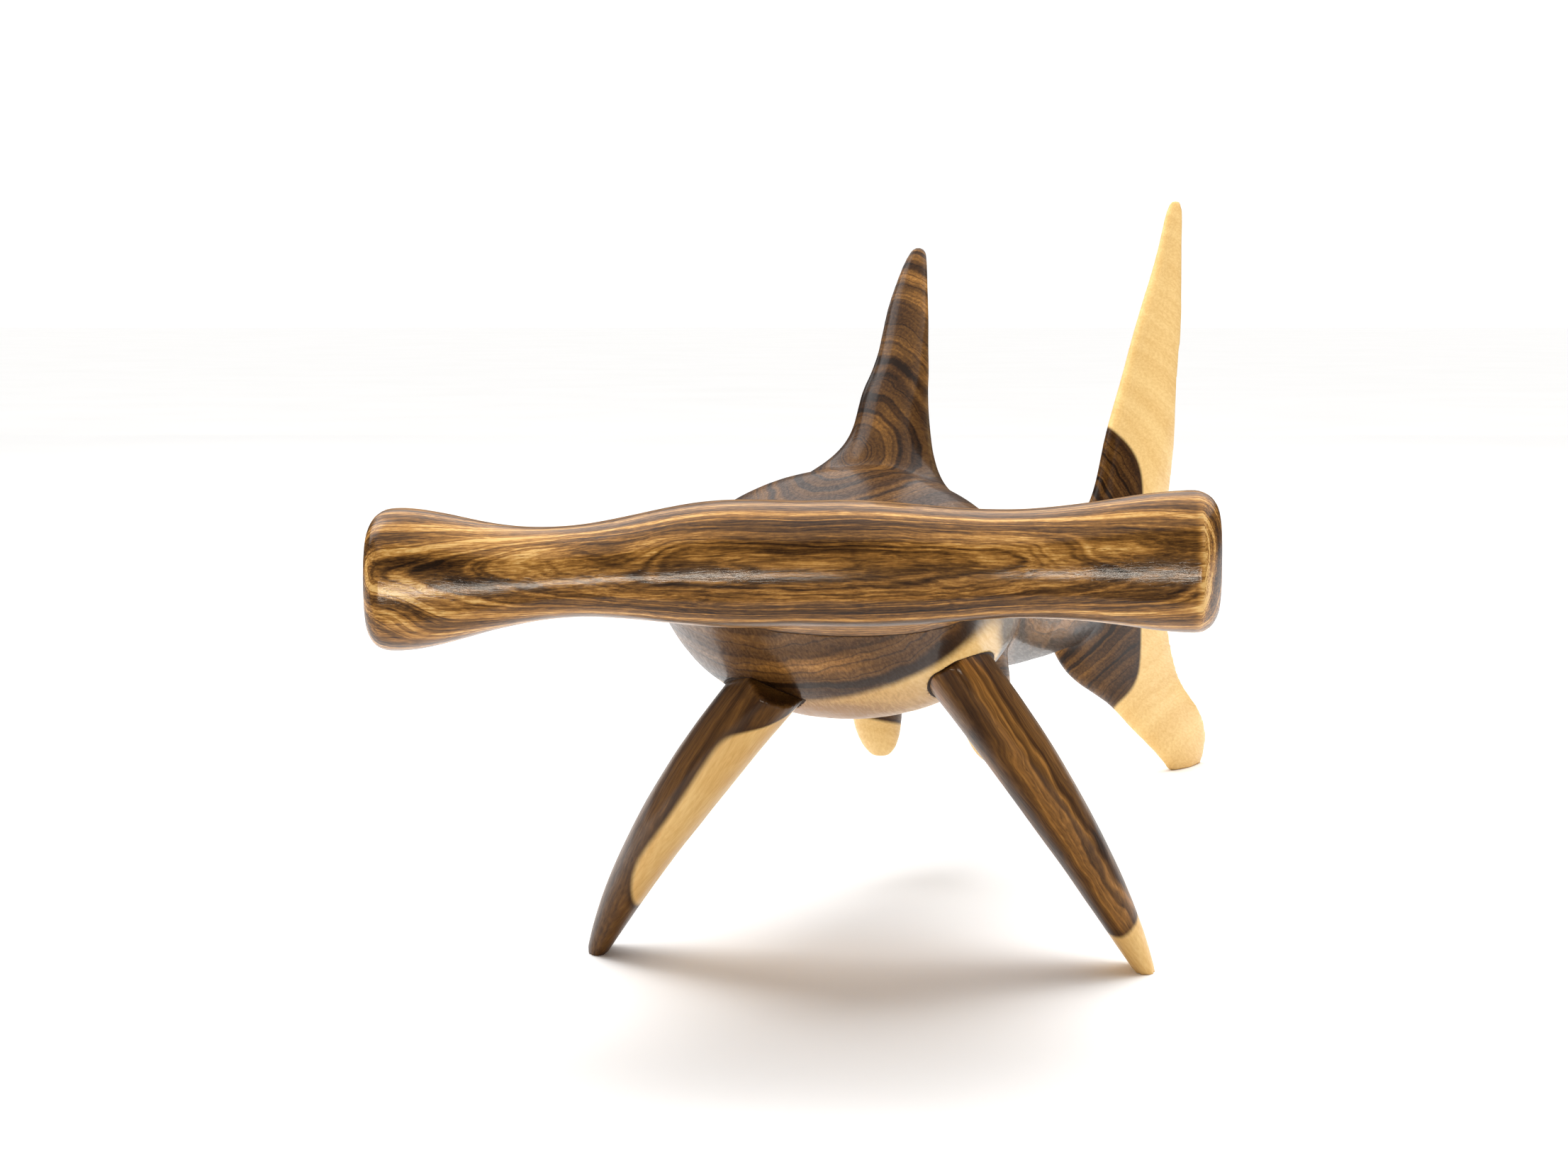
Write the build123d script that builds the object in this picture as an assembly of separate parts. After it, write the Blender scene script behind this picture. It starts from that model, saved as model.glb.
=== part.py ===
from build123d import *

import os
from math import copysign, cos, pi, radians, sin, tan

# A hammerhead shark carved in two-tone hardwood, standing on three points.
#
# The figure is built the way a carver builds it.  A cross-grained bar for the
# hammer is dowelled and glued to the front of a long block.  The block becomes
# the back, belly, dorsal fin, tail fin and the two small pelvic fins, and both
# blocks are carved as one form, so their skins meet flush at the glue line.
# Each pectoral fin is a block of its own.  It stands in a shallow socket in
# the flank, held by a dowel and by dark glue that shows as a line round it.
#
# Axes: +Z up, the floor at Z = 0, the nose towards -Y, the tail swinging to
# +X, so the shark's own right is -X.  Everything is drawn with the middle of
# the hammer's front edge at X = Y = 0, and is moved at the end so that the
# origin lies on the floor under the middle of the figure.  Sizes are in mm.

# Hammer: the bar across the front of the head.
HEAD_SPAN = 102.9
HEAD_DEPTH = 24.0  # front to back at the middle
HEAD_THICKNESS = 15.0  # at the middle
HEAD_END_THICKNESS = 17.0  # over the eyes
HEAD_HEIGHT = 62.4  # middle of the bar above the floor
HEAD_END_ROUND = 2.6  # rounding round each end face
HEAD_BOW = 4.0  # how far the ends lie behind the middle of the front edge

# Body: the long block, from inside the hammer to the root of the tail.
BODY_LENGTH = 206.0
BODY_WIDTH = 53.0
BODY_DEPTH = 36.0
BELLY_CLEARANCE = 34.6  # lowest point of the belly above the floor
TAIL_SWING = 60.0  # how far the tail root lies to the side of the nose
TAIL_ROOT_HEIGHT = 38.5  # middle of the tail root above the floor
BACK_SQUARENESS = 1.95  # 2 is an ellipse, and less is more like a roof
BELLY_SQUARENESS = 2.05
HAMMER_SQUARENESS = 2.5

# Dorsal fin.
DORSAL_PLACE = 95.0  # its middle, behind the nose
DORSAL_HEIGHT = 34.6  # above the back
DORSAL_OFFSET = 1.8  # its root, to +X of the spine
DORSAL_CHORD = 34.0
DORSAL_THICKNESS = 10.0
DORSAL_TURN = 15.0  # degrees from the nose's line to the fin's plane

# Tail fin.
TAIL_TURN = 37.0
TAIL_TOP = 112.6  # tip of the upper lobe above the floor
TAIL_THICKNESS = 8.0

# Pelvic fins: the small pair under the belly, part of the long block.
PELVIC_PLACE = 124.0
PELVIC_SPREAD = 8.0  # from the middle of the belly to each root
PELVIC_SPLAY = 3.0  # degrees outwards from the vertical
PELVIC_CHORD = 15.0
PELVIC_THICKNESS = 8.0
PELVIC_TIP = 19.4  # above the floor

# Pectoral fins, on which the figure stands.
FIN_PLACE = 58.0  # middle of the root, behind the nose
FIN_CHORD = 25.0
FIN_THICKNESS = 9.2
FIN_FOOT_CHORD = 6.4
FIN_FOOT_THICKNESS = 2.0
SOCKET_DEPTH = 6.5  # from the skin to the floor of the socket

# Joints.
NECK_LEFT_ON_HEAD = 3.0  # wood of the hammer's block behind the bar
GLUE_GAP = 0.35
HEAD_DOWEL_RADIUS = 3.0
HEAD_DOWEL_LENGTH = 22.0
HEAD_DOWEL_SPACING = 22.0
FIN_DOWEL_RADIUS = 2.5
FIN_DOWEL_LENGTH = 20.0
DOWEL_CLEARANCE = 0.05  # on the radius
DOWEL_END_ROOM = 0.5  # left past each end of a dowel, for the glue to escape

JOINT_PLACE = HEAD_DEPTH + NECK_LEFT_ON_HEAD
OUTLINE_POINTS = 16
UP = Vector(0, 0, 1)

# Body stations: share of the length, share of the tail's swing, share of the
# drop from the hammer to the tail root, half width, rise and fall as shares
# of the body's width and depth.
BODY_STATIONS = (
    (0.060, 0.018, 0.00, 0.500, 0.150, 0.150),
    (0.130, 0.040, 0.10, 0.470, 0.190, 0.210),
    (0.210, 0.085, 0.27, 0.450, 0.290, 0.360),
    (0.320, 0.125, 0.45, 0.464, 0.470, 0.500),
    (0.445, 0.213, 0.54, 0.415, 0.455, 0.450),
    (0.580, 0.350, 0.66, 0.310, 0.370, 0.380),
    (0.720, 0.515, 0.84, 0.215, 0.290, 0.330),
    (0.860, 0.720, 0.97, 0.135, 0.245, 0.280),
    (0.960, 0.910, 1.00, 0.075, 0.225, 0.235),
    (1.020, 1.030, 1.00, 0.040, 0.190, 0.190),
)

# Each pectoral fin: side (-1 towards -X), where its root sits round the flank
# in degrees below the side, where its foot stands behind the nose and out
# from the spine, and how far its middle bows outwards.
PECTORALS = {
    "right": (-1, 63.0, 76.0, 37.6, 2.1),
    "left": (1, 45.5, 64.0, 42.6, 1.7),
}

# Pectoral fin stations: share of its length, shares of the way from the
# foot's chord and thickness to the root's, shift of the middle towards the
# tail as a share of the chord.  The first two are alike, to fit the socket.
FIN_STATIONS = (
    (0.00, 1.00, 1.00, 0.00),
    (0.12, 1.00, 1.00, 0.00),
    (0.30, 0.94, 0.95, 0.02),
    (0.50, 0.77, 0.82, 0.04),
    (0.68, 0.55, 0.63, 0.04),
    (0.82, 0.33, 0.42, 0.02),
    (0.92, 0.14, 0.20, 0.00),
    (1.00, 0.00, 0.00, -0.02),
)
STRAIGHT_SHARE = 0.12


def superellipse(half_width, rise, fall, upper, lower):
    """Points of a rounded outline with its own height and squareness above
    and below the middle."""
    points = []
    for i in range(OUTLINE_POINTS):
        angle = 2 * pi * i / OUTLINE_POINTS
        squareness = upper if sin(angle) >= 0 else lower
        across = copysign(abs(cos(angle)) ** (2 / squareness), cos(angle))
        up = copysign(abs(sin(angle)) ** (2 / squareness), sin(angle))
        points.append((half_width * across, (rise if up > 0 else fall) * up))
    return points


def blade(chord, thickness):
    """Points of a fin's outline: fuller at the front edge, finer at the back."""
    points = []
    for i in range(OUTLINE_POINTS):
        angle = 2 * pi * i / OUTLINE_POINTS
        along = cos(angle)
        fullness = 1 - 0.22 * along - 0.10 * along * along
        points.append((chord / 2 * along, thickness / 2 * sin(angle) * fullness))
    return points


def section(plane, points):
    """A face bounded by one smooth closed curve."""
    placed = [plane.from_local_coords(Vector(*point)) for point in points]
    return Face(Wire([Edge.make_spline(placed, periodic=True)]))


def rod(start, direction, length, radius):
    """A round pin from a point, along a direction."""
    plane = Plane(origin=start, z_dir=direction)
    return extrude(plane * Circle(radius), amount=length)


def hammer_form():
    """The bar of the head, lofted from end to end."""
    half_span = HEAD_SPAN / 2
    middle = HEAD_THICKNESS / 2
    end = HEAD_END_THICKNESS / 2
    # share of the half span, share of the bow, share of the depth, lift, half height
    stations = (
        (-1.00, 1.00, 0.98, -1.80, end * 0.97),
        (-0.86, 0.80, 0.97, -1.65, end * 0.97),
        (-0.66, 0.48, 0.88, -1.05, middle * 0.79),
        (-0.46, 0.22, 0.90, -0.25, middle * 0.75),
        (-0.22, 0.05, 0.98, 0.35, middle * 0.98),
        (0.00, 0.00, 1.00, 0.40, middle),
        (0.24, 0.05, 0.98, 0.35, middle * 0.98),
        (0.52, 0.26, 0.90, 0.40, middle * 0.86),
        (0.72, 0.55, 0.90, 0.58, middle * 0.97),
        (0.88, 0.82, 0.97, 0.50, end * 0.99),
        (1.00, 1.00, 0.98, 0.45, end),
    )
    faces = []
    for share, bow, depth_share, lift, half_height in stations:
        front = HEAD_BOW * bow
        back = HEAD_DEPTH * depth_share
        centre = Vector(half_span * share, (front + back) / 2, HEAD_HEIGHT + lift)
        plane = Plane(origin=centre, x_dir=(0, 1, 0), z_dir=(1, 0, 0))
        outline = superellipse(
            (back - front) / 2, half_height, half_height, HAMMER_SQUARENESS, HAMMER_SQUARENESS
        )
        faces.append(section(plane, outline))
    bar = loft(faces)
    ends = [bar.faces().sort_by(Axis.X)[i] for i in (0, -1)]
    return fillet(ends[0].edges() + ends[1].edges(), HEAD_END_ROUND)


def spine_point(station):
    """Middle of the body at a station, from its shares."""
    along, swing, drop = station[:3]
    middle_body = BELLY_CLEARANCE + BODY_DEPTH / 2
    if drop <= 0.5:
        height = HEAD_HEIGHT + (middle_body - HEAD_HEIGHT) * drop / 0.5
    else:
        height = middle_body + (TAIL_ROOT_HEIGHT - middle_body) * (drop - 0.5) / 0.5
    return Vector(TAIL_SWING * swing, BODY_LENGTH * along, height)


def spine():
    return Edge.make_spline([spine_point(station) for station in BODY_STATIONS])


def spine_frame(line, point):
    """A plane across the body at a point of its spine: X to the side, Y up."""
    tangent = line.tangent_at(line.param_at_point(point))
    side = tangent.cross(UP).normalized()
    return Plane(origin=point, x_dir=side, z_dir=tangent * -1)


def spine_at(line, place):
    """The point of the spine at a distance behind the nose."""
    low, high = 0.0, 1.0
    for _ in range(40):
        middle = (low + high) / 2
        if line.position_at(middle).Y < place:
            low = middle
        else:
            high = middle
    return line.position_at(low)


def girth_at(place):
    """Half width and fall of the body at a distance behind the nose."""
    share = place / BODY_LENGTH
    for before, after in zip(BODY_STATIONS, BODY_STATIONS[1:]):
        if before[0] <= share <= after[0]:
            mix = (share - before[0]) / (after[0] - before[0])
            half_width = before[3] + (after[3] - before[3]) * mix
            fall = before[5] + (after[5] - before[5]) * mix
            return BODY_WIDTH * half_width, BODY_DEPTH * fall
    raise ValueError("the place is not on the body")


def body_form(line):
    faces = []
    for station in BODY_STATIONS:
        half_width, rise, fall = station[3:]
        outline = superellipse(
            BODY_WIDTH * half_width, BODY_DEPTH * rise, BODY_DEPTH * fall,
            BACK_SQUARENESS, BELLY_SQUARENESS,
        )
        faces.append(section(spine_frame(line, spine_point(station)), outline))
    return loft(faces)


def upright_fin(origin, turn, stations):
    """A fin of level sections.  Each station has its height, front edge and
    back edge along the fin's plane, thickness, and shift to the fin's side."""
    heading = Vector(sin(radians(turn)), cos(radians(turn)), 0)
    side = heading.cross(UP)
    faces = []
    for height, front, back, thickness, shift in stations:
        middle = Vector(origin.X, origin.Y, height)
        middle += heading * ((front + back) / 2) + side * shift
        plane = Plane(origin=middle, x_dir=heading, z_dir=(0, 0, 1))
        faces.append(section(plane, blade(back - front, thickness)))
    return loft(faces)


def dorsal_fin(line):
    """The tall fin, flaring into the back."""
    root = spine_at(line, DORSAL_PLACE)
    back_height = root.Z + BODY_DEPTH * 0.45
    # share of the height, front and back edge in chords, thickness and shift
    # to the side in thicknesses
    shape = (
        (-0.22, -0.95, 0.62, 2.90, -0.30),
        (-0.06, -0.73, 0.50, 2.35, -0.28),
        (0.05, -0.60, 0.45, 1.72, -0.18),
        (0.14, -0.47, 0.40, 1.24, -0.05),
        (0.28, -0.33, 0.34, 0.98, 0.00),
        (0.45, -0.16, 0.33, 0.82, 0.03),
        (0.62, 0.01, 0.35, 0.67, 0.03),
        (0.78, 0.18, 0.42, 0.54, 0.00),
        (0.90, 0.30, 0.49, 0.38, 0.00),
        (0.97, 0.38, 0.53, 0.25, 0.00),
        (1.00, 0.43, 0.54, 0.14, 0.00),
    )
    stations = [
        (
            back_height + DORSAL_HEIGHT * share,
            DORSAL_CHORD * front,
            DORSAL_CHORD * back,
            DORSAL_THICKNESS * thick,
            DORSAL_THICKNESS * shift,
        )
        for share, front, back, thick, shift in shape
    ]
    return upright_fin(root + Vector(DORSAL_OFFSET, 0, 0), DORSAL_TURN, stations)


def tail_fin(line):
    """Both lobes in one blade; the lower one stands on the floor."""
    root = line.position_at(1)
    lower = TAIL_ROOT_HEIGHT
    upper = TAIL_TOP - TAIL_ROOT_HEIGHT
    # height, front and back edge from the tail root, share of the thickness
    stations = (
        (-1.0, 24.5, 34.5, 0.34),
        (lower * 0.08, 19.5, 37.0, 0.48),
        (lower * 0.17, 14.2, 37.0, 0.56),
        (lower * 0.27, 8.2, 34.8, 0.62),
        (lower * 0.42, -0.6, 28.0, 0.72),
        (lower * 0.60, -14.6, 23.0, 0.84),
        (lower * 0.78, -21.5, 20.3, 0.95),
        (lower + upper * 0.02, -22.0, 18.5, 1.00),
        (lower + upper * 0.22, -8.0, 20.0, 0.92),
        (lower + upper * 0.38, -2.5, 22.3, 0.80),
        (lower + upper * 0.53, 3.0, 23.0, 0.68),
        (lower + upper * 0.68, 8.5, 24.6, 0.56),
        (lower + upper * 0.83, 15.0, 24.4, 0.44),
        (lower + upper * 0.93, 18.3, 24.3, 0.34),
        (lower + upper * 0.98, 19.9, 24.2, 0.24),
        (TAIL_TOP, 21.0, 23.7, 0.13),
    )
    placed = [(z, front, back, TAIL_THICKNESS * t, 0) for z, front, back, t in stations]
    return upright_fin(root, TAIL_TURN, placed)


def pelvic_fin(line, side):
    """A small fin under the belly, leaning outwards as it goes down."""
    middle = spine_at(line, PELVIC_PLACE)
    frame = spine_frame(line, middle)
    root = middle + frame.x_dir * (side * PELVIC_SPREAD)
    along = Vector(frame.z_dir.X * -1, frame.z_dir.Y * -1, 0).normalized()
    height = root.Z - PELVIC_TIP
    # share of the height, front and back edge in chords, share of the thickness
    shape = (
        (0.00, -0.60, 0.52, 1.15),
        (0.45, -0.50, 0.50, 1.08),
        (0.70, -0.34, 0.50, 1.00),
        (0.86, -0.12, 0.48, 0.84),
        (0.95, 0.06, 0.44, 0.60),
        (1.00, 0.18, 0.36, 0.28),
    )
    faces = []
    for share, front, back, thick in shape:
        drop = height * share
        outward = frame.x_dir * (side * drop * tan(radians(PELVIC_SPLAY)))
        centre = root + along * (PELVIC_CHORD * (front + back) / 2) + outward - UP * drop
        plane = Plane(origin=centre, x_dir=along, z_dir=UP)
        outline = blade(PELVIC_CHORD * (back - front), PELVIC_THICKNESS * thick)
        faces.append(section(plane, outline))
    return loft(faces)


def fin_root(line, side, around, foot_place, foot_out, bow):
    """Where a pectoral fin starts on the skin, its direction there, and the
    two points that the line of its middle bends round and ends at."""
    middle = spine_at(line, FIN_PLACE)
    frame = spine_frame(line, middle)
    half_width, fall = girth_at(FIN_PLACE)
    across = frame.x_dir * (side * half_width * cos(radians(around)))
    skin = middle + across - frame.y_dir * (fall * sin(radians(around)))
    foot = Vector(spine_at(line, foot_place).X + side * foot_out, foot_place, 0)
    bend = (skin + foot) / 2 + Vector(side, 0, 0) * bow * 2
    return skin, (bend - skin).normalized(), bend, foot


def fin_plane(origin, heading):
    """A plane across a fin: its X along the chord, towards the tail."""
    chord = Vector(0, 1, 0)
    chord = (chord - heading * chord.dot(heading)).normalized()
    return Plane(origin=origin, x_dir=chord, z_dir=heading)


def fin_form(skin, heading, bend, foot, room=0.0):
    """A pectoral fin, from just above its socket's floor to its flat foot.
    With room for glue all round, it is the solid that cuts the socket."""
    start = skin - heading * (SOCKET_DEPTH - GLUE_GAP)
    past = foot + (foot - bend).normalized() * FIN_FOOT_THICKNESS
    line = Edge.make_bezier(start, bend, past)
    faces = []
    for share, chord_share, thick_share, shift in FIN_STATIONS:
        chord = FIN_FOOT_CHORD + (FIN_CHORD - FIN_FOOT_CHORD) * chord_share
        thick = FIN_FOOT_THICKNESS + (FIN_THICKNESS - FIN_FOOT_THICKNESS) * thick_share
        direction = line.tangent_at(share) if share > STRAIGHT_SHARE else heading
        centre = line.position_at(share) - direction * (room if share == 0 else 0)
        plane = fin_plane(centre, direction)
        plane.origin += plane.x_dir * (FIN_CHORD * shift)
        faces.append(section(plane, blade(chord + 2 * room, thick + 2 * room)))
    return split(loft(faces), bisect_by=Plane.XY, keep=Keep.TOP)


def dowel_and_hole(middle, direction, length, radius):
    """A dowel that is half in each of two pieces, and the hole that it needs."""
    pin = rod(middle - direction * (length / 2), direction, length, radius)
    room = length + 2 * DOWEL_END_ROOM
    hole = rod(middle - direction * (room / 2), direction, room, radius + DOWEL_CLEARANCE)
    return pin, hole


def carved_form(line):
    """Hammer, body and the fins that are part of them, as one skin."""
    form = hammer_form() + body_form(line) + dorsal_fin(line) + tail_fin(line)
    form += [pelvic_fin(line, side) for side in (-1, 1)]
    return split(form, bisect_by=Plane.XY, keep=Keep.TOP)


def cut_head_joint(form, line):
    """The form parted at the neck: head, glue line and body, with dowels."""
    front = Plane(origin=(0, JOINT_PLACE, 0), z_dir=(0, 1, 0))
    back = front.offset(GLUE_GAP)
    head = split(form, bisect_by=front, keep=Keep.BOTTOM)
    rest = split(form, bisect_by=front, keep=Keep.TOP)
    glue = split(rest, bisect_by=back, keep=Keep.BOTTOM)
    body = split(rest, bisect_by=back, keep=Keep.TOP)
    pieces = {}
    for name, side in (("right", -1), ("left", 1)):
        middle = spine_at(line, JOINT_PLACE) + Vector(side * HEAD_DOWEL_SPACING / 2, 0, 0)
        along = Vector(0, 1, 0)
        pin, hole = dowel_and_hole(middle, along, HEAD_DOWEL_LENGTH, HEAD_DOWEL_RADIUS)
        head -= hole
        body -= hole
        glue -= pin
        pieces[f"{name}_head_dowel"] = pin
    return pieces | {"head": head, "head_glue_line": glue, "body": body}


def fit_pectoral(pieces, form, line, name, layout):
    """One pectoral fin with its socket, dowel and glue."""
    skin, heading, bend, foot = fin_root(line, *layout)
    fin = fin_form(skin, heading, bend, foot)
    socket = fin_form(skin, heading, bend, foot, GLUE_GAP)
    floor = skin - heading * SOCKET_DEPTH
    pin, hole = dowel_and_hole(floor, heading, FIN_DOWEL_LENGTH, FIN_DOWEL_RADIUS)
    pieces["body"] = pieces["body"] - socket - hole
    pieces[f"{name}_fin_glue_line"] = (socket & form) - fin - pin
    pieces[f"{name}_pectoral_fin"] = fin - hole
    pieces[f"{name}_fin_dowel"] = pin


def main():
    line = spine()
    form = carved_form(line)
    pieces = cut_head_joint(form, line)
    for name, layout in PECTORALS.items():
        fit_pectoral(pieces, form, line, name, layout)

    boxes = [piece.bounding_box() for piece in pieces.values()]
    middle_x = (min(b.min.X for b in boxes) + max(b.max.X for b in boxes)) / 2
    middle_y = (min(b.min.Y for b in boxes) + max(b.max.Y for b in boxes)) / 2
    os.makedirs("parts", exist_ok=True)
    for name, piece in pieces.items():
        export_step(Pos(-middle_x, -middle_y, 0) * piece, f"parts/{name}.step")
    print("moved by", round(-middle_x, 3), round(-middle_y, 3))


main()
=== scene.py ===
# %% [markdown]
# # A hammerhead shark carved in two-tone hardwood
#
# The real figure is carved from a long block for the body and tail, a
# cross-grained bar for the hammer and a block for each pectoral fin, glued and
# dowelled together, sanded smooth and oiled until it shines.  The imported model
# already holds every piece at its true size and place.  This lesson gives the
# pieces their carved skins, their wood and a soft studio to stand in.

from math import radians

import bmesh
import bpy
import numpy as np
from mathutils import Matrix, Vector, noise


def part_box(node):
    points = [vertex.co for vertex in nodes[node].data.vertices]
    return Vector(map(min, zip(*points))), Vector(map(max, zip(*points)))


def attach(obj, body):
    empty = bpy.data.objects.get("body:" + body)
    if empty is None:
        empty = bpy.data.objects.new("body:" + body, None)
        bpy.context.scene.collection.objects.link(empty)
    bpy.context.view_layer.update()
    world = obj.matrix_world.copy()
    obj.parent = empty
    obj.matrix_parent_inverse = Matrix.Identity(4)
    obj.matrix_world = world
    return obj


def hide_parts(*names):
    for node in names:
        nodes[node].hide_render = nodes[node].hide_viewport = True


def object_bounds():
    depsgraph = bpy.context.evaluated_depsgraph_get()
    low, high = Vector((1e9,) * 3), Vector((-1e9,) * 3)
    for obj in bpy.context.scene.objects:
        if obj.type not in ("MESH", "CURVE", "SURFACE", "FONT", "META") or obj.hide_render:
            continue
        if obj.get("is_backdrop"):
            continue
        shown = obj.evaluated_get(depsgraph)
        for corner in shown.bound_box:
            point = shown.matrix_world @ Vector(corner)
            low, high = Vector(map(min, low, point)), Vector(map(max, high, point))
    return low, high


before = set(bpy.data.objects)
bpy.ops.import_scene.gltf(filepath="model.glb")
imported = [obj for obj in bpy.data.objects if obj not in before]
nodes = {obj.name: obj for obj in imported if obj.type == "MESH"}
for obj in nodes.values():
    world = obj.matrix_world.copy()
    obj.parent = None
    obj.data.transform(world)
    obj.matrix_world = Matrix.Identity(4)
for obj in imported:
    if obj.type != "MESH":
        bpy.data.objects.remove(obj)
cad_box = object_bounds()
MM = 0.001
print("CAD box in mm:", [[round(v / MM, 2) for v in corner] for corner in cad_box])

# %% [markdown]
# ## Places to measure from
#
# A carver works from a few lines drawn on the block: where the hammer's front
# edge is, how wide it is, where the floor is.  Here the same lines come from
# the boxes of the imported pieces, so every later place follows them if the
# figure is made longer or wider.  `nose` is the middle of the hammer's front
# edge at floor level, and `at` turns a carver's measure in millimetres (to the
# side, behind the nose, above the floor) into a point of the model.

# %% The carver's lines
head_low, head_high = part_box("head")
joint_low, joint_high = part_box("head_glue_line")
nose = Vector(((head_low.x + head_high.x) / 2, head_low.y, 0))


def at(side, behind, up):
    """A point measured in millimetres from the nose and the floor."""
    return nose + Vector((side, behind, up)) * MM


print("nose at", [round(v / MM, 2) for v in nose], "mm")

# %% [markdown]
# ## The camera and the studio
#
# The figure is looked at head-on, from a little above the hammer, so the body
# runs away behind it.  A fairly near camera gives that strong perspective.
# The studio is a pale floor in an evenly white room, which lights every side
# and leaves only a soft shadow.

# %% Camera
CAMERA_BACK = 330  # mm in front of the nose
CAMERA_SIDE = -1.2
CAMERA_UP = 96.3
CAMERA_DIP = 6.1  # degrees below level
LENS = 65.1

lens_data = bpy.data.cameras.new("camera")
lens_data.lens = LENS
lens_data.sensor_width = 36
lens_data.sensor_fit = "HORIZONTAL"
lens_data.clip_start = 0.01
lens_data.clip_end = 20
camera = bpy.data.objects.new("camera", lens_data)
camera.location = at(CAMERA_SIDE, -CAMERA_BACK, CAMERA_UP)
camera.rotation_euler = (radians(90 - CAMERA_DIP), 0, 0)
bpy.context.scene.collection.objects.link(camera)
bpy.context.scene.camera = camera
print("camera", [round(v, 4) for v in camera.location])

# %% [markdown]
# ### Lamps
#
# A broad lamp overhead does the lighting.  It is kept out of the polish, or the
# back would turn milky.  The shine that shows how round the hammer is comes
# from two low strips in front of it, which are seen in the polish and light
# nothing else.  A small lamp on the left gives the back a little sheen.

# %% Soft lamps
AIM = at(0, 90, 55)
CANDLE = (1.0, 0.92, 0.80)
STRIP_FRONT = 250  # mm in front of the nose
STRIP_UP = 14
STRIP_HEIGHT = 0.020


def soft_lamp(name, place, width, height, power, colour=(1, 1, 1)):
    """A rectangular lamp that looks at the middle of the figure."""
    data = bpy.data.lights.new(name, "AREA")
    data.shape = "RECTANGLE"
    data.size = width
    data.size_y = height
    data.energy = power
    data.color = colour
    lamp = bpy.data.objects.new(name, data)
    lamp.location = place
    lamp.rotation_euler = (AIM - place).to_track_quat("-Z", "Y").to_euler()
    lamp.visible_camera = False
    bpy.context.scene.collection.objects.link(lamp)
    return lamp


overhead = soft_lamp("overhead", at(60, 160, 900), 0.8, 0.8, 8)
overhead.visible_glossy = False
soft_lamp("left_sheen", at(-420, 330, 520), 0.45, 0.45, 1.6)
strips = [
    soft_lamp(name, at(side, -STRIP_FRONT, STRIP_UP), width, STRIP_HEIGHT, power, CANDLE)
    for name, side, width, power in (
        ("long_strip", -95, 0.21, 0.50), ("short_strip", 135, 0.09, 0.22),
    )
]
for strip in strips:
    strip.visible_diffuse = False
print("lamps: overhead, left_sheen,", ", ".join(strip.name for strip in strips))

# %% [markdown]
# ### Dark flags
#
# Polished wood mirrors the room, and a white room would lay a veil over the
# dark heartwood.  A real studio hangs dark cloths round the table, just out of
# the picture, and so does this one.  The camera never sees them and they cast
# no shadow; the one in front also takes a little light away from that side.

# %% Dark flags
FLAG_FRONT = -800  # mm behind the nose, so a minus sign puts it in front
FLAG_REAR = 1500
FLAG_SIDE = 700
FLAG_TOP = 1400
LOW_FLAG_TOP = 330
FLOOR_CLOTH_END = -30
FLOOR_CLOTH_UP = 1


def flag(name, corners):
    """A dark cloth that only the polish sees."""
    cloth = bpy.data.meshes.new(name)
    cloth.from_pydata([at(*corner) for corner in corners], [], [(0, 1, 2, 3)])
    made = bpy.data.objects.new(name, cloth)
    made.visible_camera = False
    made.visible_diffuse = False
    made.visible_shadow = False
    bpy.context.scene.collection.objects.link(made)
    made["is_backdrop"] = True
    return made


def upright_flag(name, start, end, top):
    """A cloth that hangs to the floor between two places, each (side, behind)."""
    return flag(name, [(*start, 0), (*end, 0), (*end, top), (*start, top)])


FRONT_LEFT, FRONT_RIGHT = (-FLAG_SIDE, FLAG_FRONT), (FLAG_SIDE, FLAG_FRONT)
REAR_LEFT, REAR_RIGHT = (-FLAG_SIDE, FLAG_REAR), (FLAG_SIDE, FLAG_REAR)
FLAGS = (
    upright_flag("front_flag", FRONT_LEFT, FRONT_RIGHT, FLAG_TOP),
    upright_flag("left_flag", FRONT_LEFT, REAR_LEFT, FLAG_TOP / 2),
    upright_flag("right_flag", FRONT_RIGHT, REAR_RIGHT, LOW_FLAG_TOP),
    upright_flag("rear_flag", REAR_LEFT, REAR_RIGHT, LOW_FLAG_TOP),
    flag("floor_flag", [
        (*FRONT_LEFT, FLOOR_CLOTH_UP), (*FRONT_RIGHT, FLOOR_CLOTH_UP),
        (FLAG_SIDE, FLOOR_CLOTH_END, FLOOR_CLOTH_UP),
        (-FLAG_SIDE, FLOOR_CLOTH_END, FLOOR_CLOTH_UP),
    ]),
)
FLAGS[0].visible_diffuse = True
print("flags:", ", ".join(made.name for made in FLAGS))

# %% White surroundings
ROOM_LIGHT = 1.05

world = bpy.data.worlds.new("white_room")
world.use_nodes = True
sky = world.node_tree.nodes["Background"]
sky.inputs["Color"].default_value = (1, 1, 1, 1)
sky.inputs["Strength"].default_value = ROOM_LIGHT
bpy.context.scene.world = world
bpy.context.scene.view_settings.view_transform = "Standard"
print("room light:", ROOM_LIGHT)

# %% [markdown]
# ## A small kit for building materials
#
# Every finish here is made of nodes.  Wiring them one by one takes many lines,
# so `Finish` keeps a material, its shader and a few short methods: `node` adds
# any node and wires its inputs, and `sum`, `times` and the rest are the maths
# nodes that are used most.  A number goes on a socket; a socket is wired.

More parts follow.
